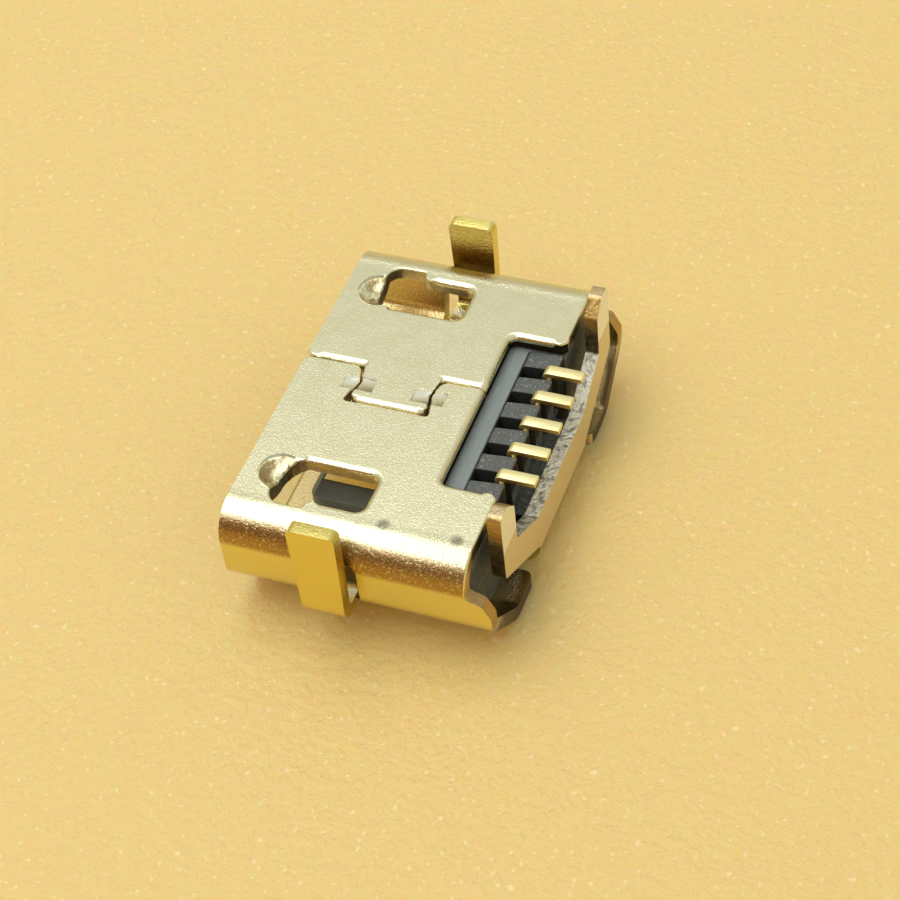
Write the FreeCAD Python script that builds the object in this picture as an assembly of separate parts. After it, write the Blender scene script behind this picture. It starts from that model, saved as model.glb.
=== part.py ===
import FreeCAD, Part
import math
import os

# Micro USB socket with two side legs, lying on its narrow face with the board side up.
# X runs along the mouth, Y from the mouth to the rear, Z from the narrow face to the board face.
# Depths are measured from the mouth, and the finished pieces are moved to centre them in Y.

Vector = FreeCAD.Vector

# Plug opening and sheet metal
opening_width = 6.90
opening_height = 1.85
sheet = 0.25
bend_inside = 0.25

# Cross-section of the folded shell, outer surface
wall_height = 1.42
chamfer_run = 1.10
wide_corner_radius = 0.60
foot_corner_radius = 0.45
narrow_corner_radius = 0.50
mouth_lead = 0.09

# Depth of the board face, and how far each piece of the rear stands behind the one before
plate_depth = 4.50
cradle_overhang = 0.44
back_overhang = 0.02
foot_overhang = 0.04
cradle_drop = 0.64
cradle_fall = 0.14
cradle_lean = 0.15
cradle_lean_height = 0.30
cradle_corner = 0.10

# Rear notch over the solder tails
notch_length = 1.05
notch_side_gap = 0.045
notch_corner = 0.14
notch_flare = 0.10

# Dovetail seam in the board face
seam_x = -0.46
seam_gap = 0.045
seam_inside_corner = 0.06
seam_outside_corner = 0.17
seam_mouth_round = 0.12
dovetail_setback = 1.57
dovetail_reach = 0.88
dovetail_neck_reach = 0.40
dovetail_root = 1.48
dovetail_neck = 1.30
dovetail_head = 1.52

# Square staking marks that lock the dovetail
stake_offset = 0.07
stake_length = 0.62
stake_width = 0.34
stake_depth = 0.03
stake_taper = 0.02

# Latch windows in the board face, wider at the catch for the plug's hook
window_inset = 0.84
window_width = 0.85
window_length = 1.03
window_corner = 0.17
catch_front = 0.66
catch_step = 0.19
catch_length = 0.70
catch_inner_corner = 0.40
catch_outer_corner = 0.27
step_corner = 0.05
lip_offset = 0.16
lip_reach = 0.42
lip_draw = 0.18

# Spring fingers in the narrow face
finger_inset = 0.78
finger_width = 0.66
finger_gap = 0.16
finger_front = 0.90
finger_setback = 0.10
finger_lift = 0.16
finger_nose = 0.32
finger_corner = 0.15

# Side legs, lanced from the walls and bent up towards the board
leg_centre = 2.00
leg_width = 0.88
leg_root_width = 0.78
leg_tip_corner = 0.12
leg_gap = 0.13
leg_drop = 0.21
leg_root_drop = 0.25
leg_standing = 0.60
leg_bend_inside = 0.10
leg_slot_gap = 0.14
leg_slot_height = 1.15
leg_slot_corner = 0.20

# Back plate, bent up from the narrow face, with two ears
shoulder_inset = 0.76
shoulder_drop = 0.85
ear_width = 0.64
ear_tip_width = 0.34
ear_standing = 0.62
ear_corner = 0.08
ear_tip_corner = 0.13
valley_drop = 0.50
middle_drop = 1.08
middle_width = 2.60
bend_strip_width = 2.64
bend_strip_clear = 0.03
bend_strip_overlap = 0.35
relief_width = 0.38
relief_depth = 0.55
relief_corner = 0.15

# Moulded insulator with its tongue
housing_fit = 0.03
housing_back_gap = 0.01
base_length = 1.23
rib_length = 0.65
rib_step = 0.04
rib_front_rise = 0.02
rib_foot_gap = 0.02
rib_corner = 0.04
tongue_margin = 0.435
tongue_front = 0.75
tongue_thickness = 0.60
tongue_clear = 0.35
tongue_corner = 0.35
tongue_lead = 0.15
heel_width = 2.40
heel_clear = 0.10

# Contacts with their solder feet
contact_count = 5
contact_pitch = 0.65
contact_width = 0.23
contact_thickness = 0.10
contact_proud = 0.02
contact_setback = 0.20
contact_bend_inside = 0.03
groove_side_gap = 0.02
riser_setback = 0.20
foot_recess = 0.10

# Widths and heights that follow from the sizes above
half_width = opening_width / 2 + sheet
narrow_half = half_width - chamfer_run
height = opening_height + 2 * sheet
inner_top = height - sheet
wall_foot = height - wall_height
board_end = height + leg_standing
ear_top = height + ear_standing
window_outer = half_width - window_inset
window_inner = window_outer - window_width
catch_outer = window_outer + catch_step
finger_x = narrow_half - finger_inset
leg_reach = half_width + leg_gap + sheet
leg_bottom = wall_foot - leg_drop
groove_width = contact_width + 2 * groove_side_gap
rib_area = contact_pitch * (contact_count + 1) - groove_width
notch_width = rib_area + 2 * notch_side_gap
tongue_width = contact_pitch * (contact_count - 1) + contact_width + 2 * tongue_margin
tongue_bottom = sheet + tongue_clear
tongue_top = tongue_bottom + tongue_thickness
contact_floor = tongue_top + contact_proud - contact_thickness
base_top = inner_top - 2 * housing_fit
foot_bottom = height - foot_recess - contact_thickness
rib_top = foot_bottom - rib_foot_gap

# Depths that follow from the sizes above
notch_depth = plate_depth - notch_length
dovetail_centre = notch_depth - dovetail_setback
cradle_depth = plate_depth + cradle_overhang
back_depth = cradle_depth + back_overhang
back_inside = back_depth - sheet
foot_end = back_depth + foot_overhang
base_rear = back_inside - bend_inside - housing_back_gap
base_front = base_rear - base_length
bar_rear = base_rear - rib_length
riser_front = base_rear - riser_setback
contact_tip = tongue_front + contact_setback
finger_root = base_front - finger_setback
overall_depth = max(foot_end, back_depth)

# How far each cutter reaches past the material it cuts, and how closely an edge is matched
cut_over = 0.20
match = 0.001


def on_section(depth):
    """Places outline points on a plane across the socket."""
    return lambda u, v: Vector(u, depth, v)


def on_level(level):
    """Places outline points, width and depth, on a level plane."""
    return lambda u, v: Vector(u, v, level)


def on_side(offset):
    """Places outline points, depth and height, on a plane along the socket."""
    return lambda u, v: Vector(offset, u, v)


def rounded_wire(corners, place):
    """Closed outline through corners (u, v, radius), with an arc at each rounded corner."""
    bends = []
    for index, (u, v, radius) in enumerate(corners):
        here = Vector(u, v, 0)
        before = corners[index - 1]
        after = corners[(index + 1) % len(corners)]
        back = (Vector(before[0], before[1], 0) - here).normalize()
        ahead = (Vector(after[0], after[1], 0) - here).normalize()
        if radius <= 0:
            bends.append((here, None, here))
            continue
        half_angle = back.getAngle(ahead) / 2
        reach = radius / math.tan(half_angle)
        inward = (back + ahead).normalize()
        middle = here + inward * (radius / math.sin(half_angle) - radius)
        bends.append((here + back * reach, middle, here + ahead * reach))
    edges = []
    for index, (start, middle, end) in enumerate(bends):
        last = bends[index - 1][2]
        if last.distanceToPoint(start) > match:
            edges.append(Part.LineSegment(place(last.x, last.y), place(start.x, start.y)).toShape())
        if middle is not None:
            points = [place(point.x, point.y) for point in (start, middle, end)]
            edges.append(Part.Arc(*points).toShape())
    return Part.Wire(edges)


def slab(corners, place, direction):
    """Solid made by drawing a rounded outline along a direction."""
    return Part.Face(rounded_wire(corners, place)).extrude(direction)


def rectangle(u_low, u_high, v_low, v_high, radius):
    """Corners of a rectangle with one corner radius."""
    return [
        (u_low, v_low, radius),
        (u_high, v_low, radius),
        (u_high, v_high, radius),
        (u_low, v_high, radius),
    ]


def shifted_point(before, here, after, amount):
    """Corner point moved to the left of the path by an amount on both of its sides."""
    arrive = (Vector(here[0] - before[0], here[1] - before[1], 0)).normalize()
    leave = (Vector(after[0] - here[0], after[1] - here[1], 0)).normalize()
    left_arrive = Vector(-arrive.y, arrive.x, 0)
    left_leave = Vector(-leave.y, leave.x, 0)
    move = (left_arrive + left_leave) * (amount / (1 + left_arrive.dot(left_leave)))
    return (here[0] + move.x, here[1] + move.y)


def inset(corners, amount):
    """Outline inside a convex one, at a constant distance, with its radii reduced to match."""
    result = []
    for index, corner in enumerate(corners):
        after = corners[(index + 1) % len(corners)]
        u, v = shifted_point(corners[index - 1], corner, after, amount)
        result.append((u, v, max(corner[2] - amount, 0)))
    return result


def bent_strip(path, inside_radius, outside_radius, thickness):
    """Outline of a strip that follows a path on its left side, with the radii of its bends."""
    right_side = []
    left_side = []
    for index, here in enumerate(path):
        if index in (0, len(path) - 1):
            near = path[1] if index == 0 else path[-2]
            sign = 1 if index == 0 else -1
            along = (Vector(near[0] - here[0], near[1] - here[1], 0)).normalize() * sign
            right_side.append((here[0], here[1], 0))
            left_side.append((here[0] - along.y * thickness, here[1] + along.x * thickness, 0))
            continue
        before, after = path[index - 1], path[index + 1]
        arrive = Vector(here[0] - before[0], here[1] - before[1], 0)
        leave = Vector(after[0] - here[0], after[1] - here[1], 0)
        turn = arrive.cross(leave).z
        u, v = shifted_point(before, here, after, thickness)
        right_side.append((here[0], here[1], outside_radius if turn > 0 else inside_radius))
        left_side.append((u, v, inside_radius if turn > 0 else outside_radius))
    return right_side + left_side[::-1]


def mirrored(shape):
    """The same shape on the other side of the middle plane."""
    return shape.mirror(Vector(0, 0, 0), Vector(1, 0, 0))


def both_sides(shape):
    """A shape and its mirror image."""
    return [shape, mirrored(shape)]


def bent_sheet(path, inside_radius, thickness):
    """Outline of a bent strip that keeps its thickness round every bend."""
    return bent_strip(path, inside_radius, inside_radius + thickness, thickness)


def shell_section():
    """Outer outline of the shell seen from the mouth, counter-clockwise."""
    return [
        (-narrow_half, 0, narrow_corner_radius),
        (narrow_half, 0, narrow_corner_radius),
        (half_width, wall_foot, foot_corner_radius),
        (half_width, height, wide_corner_radius),
        (-half_width, height, wide_corner_radius),
        (-half_width, wall_foot, foot_corner_radius),
    ]


def folded_tube():
    """Sheet folded round the plug opening, with its lower half reaching further back."""
    outline = shell_section()
    full = slab(outline, on_section(0), Vector(0, plate_depth, 0))
    lower = slab(outline, on_section(0), Vector(0, cradle_depth, 0))
    cradle_top = height - cradle_drop
    cradle_end = cradle_top - cradle_fall
    keep = slab(
        [
            (plate_depth - cradle_corner, -cut_over, 0),
            (cradle_depth, -cut_over, 0),
            (cradle_depth, cradle_end - cradle_lean_height, cradle_corner),
            (cradle_depth - cradle_lean, cradle_end, cradle_corner),
            (plate_depth - cradle_corner, cradle_top, 0),
        ],
        on_side(-half_width - cut_over),
        Vector(2 * (half_width + cut_over), 0, 0),
    )
    inner = inset(outline, sheet)
    hollow = slab(inner, on_section(-cut_over), Vector(0, overall_depth + 2 * cut_over, 0))
    return full.fuse(lower.common(keep)).cut([hollow, mouth_funnel()])


def mouth_funnel():
    """Cutter for the lead-in all round the inside of the mouth."""
    outline = shell_section()
    wide = rounded_wire(inset(outline, sheet - mouth_lead), on_section(0))
    narrow = rounded_wire(inset(outline, sheet), on_section(mouth_lead))
    return Part.makeLoft([wide, narrow], True)


def rear_notch():
    """Cutter for the notch in the board face over the solder tails."""
    half = notch_width / 2
    rear = plate_depth + cut_over
    flare = half + notch_flare
    return slab(
        [
            (-half, notch_depth, notch_corner),
            (half, notch_depth, notch_corner),
            (half, plate_depth - notch_flare, notch_flare),
            (flare, plate_depth, 0),
            (flare, rear, 0),
            (-flare, rear, 0),
            (-flare, plate_depth, 0),
            (-half, plate_depth - notch_flare, notch_flare),
        ],
        on_level(inner_top - cut_over),
        Vector(0, 0, sheet + 2 * cut_over),
    )


def dovetail_seam():
    """Cutter for the narrow gap where the two ends of the sheet meet and interlock."""
    neck_x = seam_x + dovetail_neck_reach
    head_x = seam_x + dovetail_reach
    path = [
        (seam_x, -cut_over),
        (seam_x, dovetail_centre - dovetail_root / 2),
        (neck_x, dovetail_centre - dovetail_neck / 2),
        (head_x, dovetail_centre - dovetail_head / 2),
        (head_x, dovetail_centre + dovetail_head / 2),
        (neck_x, dovetail_centre + dovetail_neck / 2),
        (seam_x, dovetail_centre + dovetail_root / 2),
        (seam_x, notch_depth + cut_over),
    ]
    path_mirrored = [(-u, v) for u, v in path]
    band = bent_strip(path_mirrored, seam_outside_corner, seam_inside_corner, seam_gap)
    outline = [(-u, v, radius) for u, v, radius in band]
    return slab(outline, on_level(inner_top - cut_over), Vector(0, 0, sheet + 2 * cut_over))


def stake_marks():
    """Cutters for the shallow square marks on both shoulders of the dovetail."""
    marks = []
    middle = seam_x + dovetail_neck_reach + stake_offset
    spread = dovetail_neck + seam_gap
    for side in (-1, 1):
        depth = dovetail_centre + side * spread / 2
        levels = []
        for level, grow in ((height - stake_depth, 0), (height + stake_depth, 2 * stake_taper)):
            half_u = stake_width / 2 + grow - stake_taper
            half_v = stake_length / 2 + grow - stake_taper
            corners = rectangle(middle - half_u, middle + half_u, depth - half_v, depth + half_v, 0)
            levels.append(rounded_wire(corners, on_level(level)))
        marks.append(Part.makeLoft(levels, True))
    return marks


def latch_window():
    """Cutter for one latch window, wider towards the mouth where the plug's hook catches."""
    step = catch_front + catch_length
    rear = step + window_length
    return slab(
        [
            (window_inner, catch_front, catch_inner_corner),
            (catch_outer, catch_front, catch_outer_corner),
            (catch_outer, step, step_corner),
            (window_outer, step, catch_step - step_corner),
            (window_outer, rear, window_corner),
            (window_inner, rear, window_corner),
        ],
        on_level(inner_top - 2 * cut_over),
        Vector(0, 0, sheet + 3 * cut_over),
    )


def latch_lip():
    """The sheet drawn inward in front of a latch window: the hollow above and the bulge below."""
    ball_radius = (lip_reach ** 2 + lip_draw ** 2) / (2 * lip_draw)
    lip_x = (window_inner + catch_outer) / 2 - lip_offset
    centre = Vector(lip_x, catch_front, height + ball_radius - lip_draw)
    hollow = Part.makeSphere(ball_radius, centre)
    bulge = Part.makeSphere(ball_radius + sheet, centre)
    reach = 2 * lip_reach
    below = Part.makeBox(
        2 * reach, 2 * reach, reach, Vector(lip_x - reach, catch_front - reach, inner_top - reach)
    )
    return hollow, bulge.common(below)


def spring_finger_slot():
    """Cutter for the opening round one spring finger in the narrow face."""
    half = finger_width / 2 + finger_gap
    return slab(
        rectangle(
            finger_x - half,
            finger_x + half,
            finger_front - finger_gap,
            finger_root,
            finger_corner,
        ),
        on_level(-cut_over),
        Vector(0, 0, sheet + 2 * cut_over),
    )


def spring_finger():
    """Spring finger, rooted towards the rear and raised into the opening near the mouth."""
    path = [
        (finger_front, finger_lift / 2),
        (finger_front + finger_nose, finger_lift),
        (finger_root - finger_corner, 0),
        (finger_root + finger_corner, 0),
    ]
    return slab(
        bent_sheet(path, bend_inside, sheet),
        on_side(finger_x - finger_width / 2),
        Vector(finger_width, 0, 0),
    )


def chamfer_x(level):
    """Half width of the shell's outer chamfer at a level."""
    return narrow_half + chamfer_run * level / wall_foot


def leg_slot():
    """Cutter for the opening that a side leg leaves in the wall."""
    half = leg_root_width / 2 + leg_slot_gap
    inner = chamfer_x(leg_bottom) - 2 * sheet
    return slab(
        rectangle(
            leg_centre - half,
            leg_centre + half,
            leg_bottom,
            leg_bottom + leg_slot_height,
            leg_slot_corner,
        ),
        on_side(inner),
        Vector(half_width + cut_over - inner, 0, 0),
    )


def side_leg():
    """Side leg: out from the chamfer, then bent up past the board face and widening to its tip."""
    root_level = leg_bottom - leg_root_drop
    path = [
        (chamfer_x(root_level), root_level),
        (chamfer_x(leg_bottom), leg_bottom),
        (leg_reach, leg_bottom),
        (leg_reach, board_end),
    ]
    bent = slab(
        bent_sheet(path, leg_bend_inside, sheet),
        on_section(leg_centre - leg_width / 2),
        Vector(0, leg_width, 0),
    )
    outline = slab(
        [
            (leg_centre - leg_root_width / 2, -cut_over, 0),
            (leg_centre + leg_root_width / 2, -cut_over, 0),
            (leg_centre + leg_root_width / 2, leg_bottom, 0),
            (leg_centre + leg_width / 2, board_end, leg_tip_corner),
            (leg_centre - leg_width / 2, board_end, leg_tip_corner),
            (leg_centre - leg_root_width / 2, leg_bottom, 0),
        ],
        on_side(0),
        Vector(leg_reach + cut_over, 0, 0),
    )
    return bent.common(outline)


def back_outline():
    """Outline of the back plate and its strip, seen from behind, right half then left half."""
    shoulder_x = half_width - shoulder_inset
    valley_x = shoulder_x - ear_width
    tip_x = shoulder_x - ear_tip_width
    right = [
        (bend_strip_width / 2, -cut_over, 0),
        (bend_strip_width / 2, bend_inside + sheet + bend_strip_clear, ear_corner),
        (shoulder_x, height - shoulder_drop, ear_corner),
        (shoulder_x, ear_top, ear_tip_corner),
        (tip_x, ear_top, ear_tip_corner),
        (valley_x, ear_top - (tip_x - valley_x), ear_corner),
        (valley_x, height - valley_drop, ear_corner),
        (middle_width / 2, height - middle_drop, ear_corner),
    ]
    left = [(-u, v, radius) for u, v, radius in right[::-1]]
    return right + left


def back_plate():
    """Back plate bent up from the narrow face behind the insulator."""
    strip_start = cradle_depth - relief_depth - bend_strip_overlap
    path = [
        (strip_start, 0),
        (back_depth, 0),
        (back_depth, ear_top + cut_over),
    ]
    side = bent_sheet(path, bend_inside, sheet)
    bent = slab(side, on_side(-half_width), Vector(2 * half_width, 0, 0))
    outline = slab(back_outline(), on_section(strip_start), Vector(0, overall_depth, 0))
    return bent.common(outline)


def relief_slot():
    """Cutter for the slot with a round end between the back plate and the cradle."""
    radius = relief_width / 2
    inner = bend_strip_width / 2
    depth = cradle_depth - relief_depth + radius
    rise = sheet + 2 * cut_over
    end = Part.makeCylinder(radius, rise, Vector(inner + radius, depth, -cut_over))
    run = Part.makeBox(relief_width, relief_depth, rise, Vector(inner, depth, -cut_over))
    return end.fuse(run).removeSplitter()


def rear_trim():
    """Cutter that leaves the narrow face's rear edge to the back plate alone."""
    depth = cradle_depth - relief_depth + relief_width / 2
    corner = Vector(-bend_strip_width / 2, depth, -cut_over)
    return Part.makeBox(bend_strip_width, relief_depth, sheet + 2 * cut_over, corner)


def round_uprights(shell, places, radius):
    """Rounds the edges that run through the sheet at the given places, width and depth."""
    chosen = []
    for edge in shell.Edges:
        box = edge.BoundBox
        upright = box.ZLength > sheet / 2 and max(box.XLength, box.YLength) < match
        if upright and any(math.dist((box.XMin, box.YMin), place) < 2 * match for place in places):
            chosen.append(edge)
    return shell.makeFillet(radius, chosen)


def make_shell():
    """The whole folded shell, one piece of sheet."""
    hollow, bulge = latch_lip()
    shell = folded_tube()
    shell = shell.fuse(both_sides(bulge)).cut(both_sides(hollow))
    cutters = both_sides(latch_window())
    cutters += both_sides(spring_finger_slot())
    cutters += both_sides(leg_slot())
    cutters += both_sides(relief_slot())
    cutters += [rear_notch(), dovetail_seam(), rear_trim()]
    cutters += stake_marks()
    shell = shell.cut(cutters)
    added = both_sides(spring_finger()) + both_sides(side_leg()) + [back_plate()]
    shell = shell.fuse(added).removeSplitter()
    shell = round_uprights(shell, [(seam_x, 0), (seam_x + seam_gap, 0)], seam_mouth_round)
    relief_x = bend_strip_width / 2 + relief_width
    return round_uprights(
        shell, [(-relief_x, cradle_depth), (relief_x, cradle_depth)], relief_corner)


def contact_x(index):
    """Place of a contact across the socket."""
    return (index - (contact_count - 1) / 2) * contact_pitch


def make_contact(index):
    """One contact: flat on the tongue, up through its groove and out to the solder foot."""
    riser_back = riser_front + contact_thickness
    path = [
        (contact_tip, contact_floor),
        (riser_back, contact_floor),
        (riser_back, foot_bottom),
        (foot_end, foot_bottom),
    ]
    return slab(
        bent_sheet(path, contact_bend_inside, contact_thickness),
        on_side(contact_x(index) - contact_width / 2),
        Vector(contact_width, 0, 0),
    )


def housing_base():
    """Block that fills the rear of the shell and stands on its narrow face."""
    outline = inset(shell_section(), sheet + housing_fit)
    block = slab(outline, on_section(base_front), Vector(0, base_rear - base_front, 0))
    block.translate(Vector(0, 0, -housing_fit))
    heel_bottom = sheet + bend_inside + heel_clear
    heel = Part.makeBox(
        heel_width,
        back_inside - base_rear,
        contact_floor - heel_bottom,
        Vector(-heel_width / 2, base_rear, heel_bottom),
    )
    return block.fuse(heel)


def tongue():
    """Tongue that carries the contacts, with rounded corners and a lead-in at its front edge."""
    rear = base_front + cut_over
    plan = slab(
        [
            (-tongue_width / 2, tongue_front, tongue_corner),
            (tongue_width / 2, tongue_front, tongue_corner),
            (tongue_width / 2, rear, 0),
            (-tongue_width / 2, rear, 0),
        ],
        on_level(tongue_bottom),
        Vector(0, 0, tongue_thickness),
    )
    side = slab(
        [
            (tongue_front, tongue_bottom + tongue_lead, 0),
            (tongue_front + tongue_lead, tongue_bottom, 0),
            (rear, tongue_bottom, 0),
            (rear, tongue_top, 0),
            (tongue_front + tongue_lead, tongue_top, 0),
            (tongue_front, tongue_top - tongue_lead, 0),
        ],
        on_side(-tongue_width / 2),
        Vector(tongue_width, 0, 0),
    )
    return plan.common(side)


def rib_block():
    """Block behind the smooth bar that stands higher, from which the ribs are left."""
    return slab(
        [
            (bar_rear, base_top - cut_over, 0),
            (base_rear, base_top - cut_over, 0),
            (base_rear, rib_top, rib_corner),
            (bar_rear + rib_step, base_top + rib_front_rise, 0),
            (bar_rear, base_top, 0),
        ],
        on_side(-rib_area / 2),
        Vector(rib_area, 0, 0),
    )


def tail_grooves():
    """Cutters for the grooves that the solder tails rise from, with a rib on each side."""
    run = base_rear - bar_rear + cut_over
    corners = [
        Vector(contact_x(index) - groove_width / 2, bar_rear, contact_floor)
        for index in range(contact_count)
    ]
    return [Part.makeBox(groove_width, run, height, corner) for corner in corners]


def make_housing(contacts):
    """The moulded insulator, formed round its contacts."""
    housing = housing_base().fuse([tongue(), rib_block()]).cut(tail_grooves())
    return housing.cut(contacts).removeSplitter()


def save(name, shape):
    """Centres a finished piece in depth and writes it as its own file."""
    solid = shape.Solids[0] if len(shape.Solids) == 1 else shape
    placed = solid.translated(Vector(0, -overall_depth / 2, 0))
    placed.exportStep("parts/" + name + ".step")
    box = placed.BoundBox
    print(name, "solids", len(shape.Solids), "valid", shape.isValid(), "volume", round(shape.Volume, 4),
          "box", [round(value, 3) for value in (box.XMin, box.YMin, box.ZMin, box.XMax, box.YMax, box.ZMax)])


def main():
    os.makedirs("parts", exist_ok=True)
    contacts = [make_contact(index) for index in range(contact_count)]
    save("shell", make_shell())
    save("housing", make_housing(contacts))
    for index, contact in enumerate(contacts):
        save("contact_" + str(index + 1), contact)


main()
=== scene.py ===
import math

import bmesh
import bpy
from mathutils import Matrix, Vector


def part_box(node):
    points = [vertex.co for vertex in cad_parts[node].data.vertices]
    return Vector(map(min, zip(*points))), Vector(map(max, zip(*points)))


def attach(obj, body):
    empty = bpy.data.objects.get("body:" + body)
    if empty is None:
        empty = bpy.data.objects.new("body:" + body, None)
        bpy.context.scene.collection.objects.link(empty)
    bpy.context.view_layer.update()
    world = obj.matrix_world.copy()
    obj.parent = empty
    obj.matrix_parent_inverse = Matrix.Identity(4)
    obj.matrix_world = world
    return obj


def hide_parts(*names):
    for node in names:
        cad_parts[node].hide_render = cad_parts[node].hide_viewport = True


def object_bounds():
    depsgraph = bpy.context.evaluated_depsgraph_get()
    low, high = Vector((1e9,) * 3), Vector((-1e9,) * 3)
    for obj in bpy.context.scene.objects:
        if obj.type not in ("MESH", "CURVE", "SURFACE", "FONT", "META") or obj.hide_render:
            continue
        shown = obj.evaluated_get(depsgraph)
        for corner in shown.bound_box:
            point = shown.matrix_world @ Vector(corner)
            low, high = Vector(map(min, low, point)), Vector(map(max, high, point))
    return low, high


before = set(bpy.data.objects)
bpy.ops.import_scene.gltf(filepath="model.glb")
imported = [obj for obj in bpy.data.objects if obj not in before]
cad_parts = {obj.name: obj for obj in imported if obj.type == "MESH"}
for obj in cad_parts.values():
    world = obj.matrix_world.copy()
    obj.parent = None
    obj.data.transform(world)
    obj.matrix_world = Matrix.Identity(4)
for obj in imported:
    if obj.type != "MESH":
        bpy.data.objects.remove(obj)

# Looks of a board-mounted socket: a plated sheet shell, a moulded insulator and gilt contacts.
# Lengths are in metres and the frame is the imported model's: mouth towards -Y, board face up.

bl_info = {
    "name": "Micro USB Socket",
    "version": (1, 0, 0),
    "blender": (4, 5, 0),
    "location": "3D View > Sidebar > Socket",
    "description": "Dresses the packed socket: plated shell, moulded insulator, contacts and stage",
    "category": "Object",
}

MM = 0.001
CAD_LOW, CAD_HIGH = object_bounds()
SHELL_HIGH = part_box("shell")[1]
CONTACT_NODES = [name for name in sorted(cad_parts) if name.startswith("contact_")]
FACE_RANK = "__mod_weightednormals_faceweight"
WEAK_FACE, STRONG_FACE = -16384, 16384
# The shell's materials in their order
PLATED, SHEARED, OXIDE_AND_SHADE = range(3)
# Least angles in degrees: of a square cut, of any sharp edge, of an ear's edge and of a crease
SQUARE, SHARP, EAR, CREASE = 60, 35, 30, 38
# Parts of a unit normal along an axis: facing it, leaning from it, halfway and edge-on to it
FACING, LEANING, HALFWAY, EDGE_ON = 0.9, 0.8, 0.5, 0.3
# Width from which a flat face is shaded flat up to its edges
SHEET_FLAT, STRIP_FLAT = 0.26 * MM, 0.20 * MM
TINY = 1e-4 * MM
SENSOR_WIDTH = 36


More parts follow.
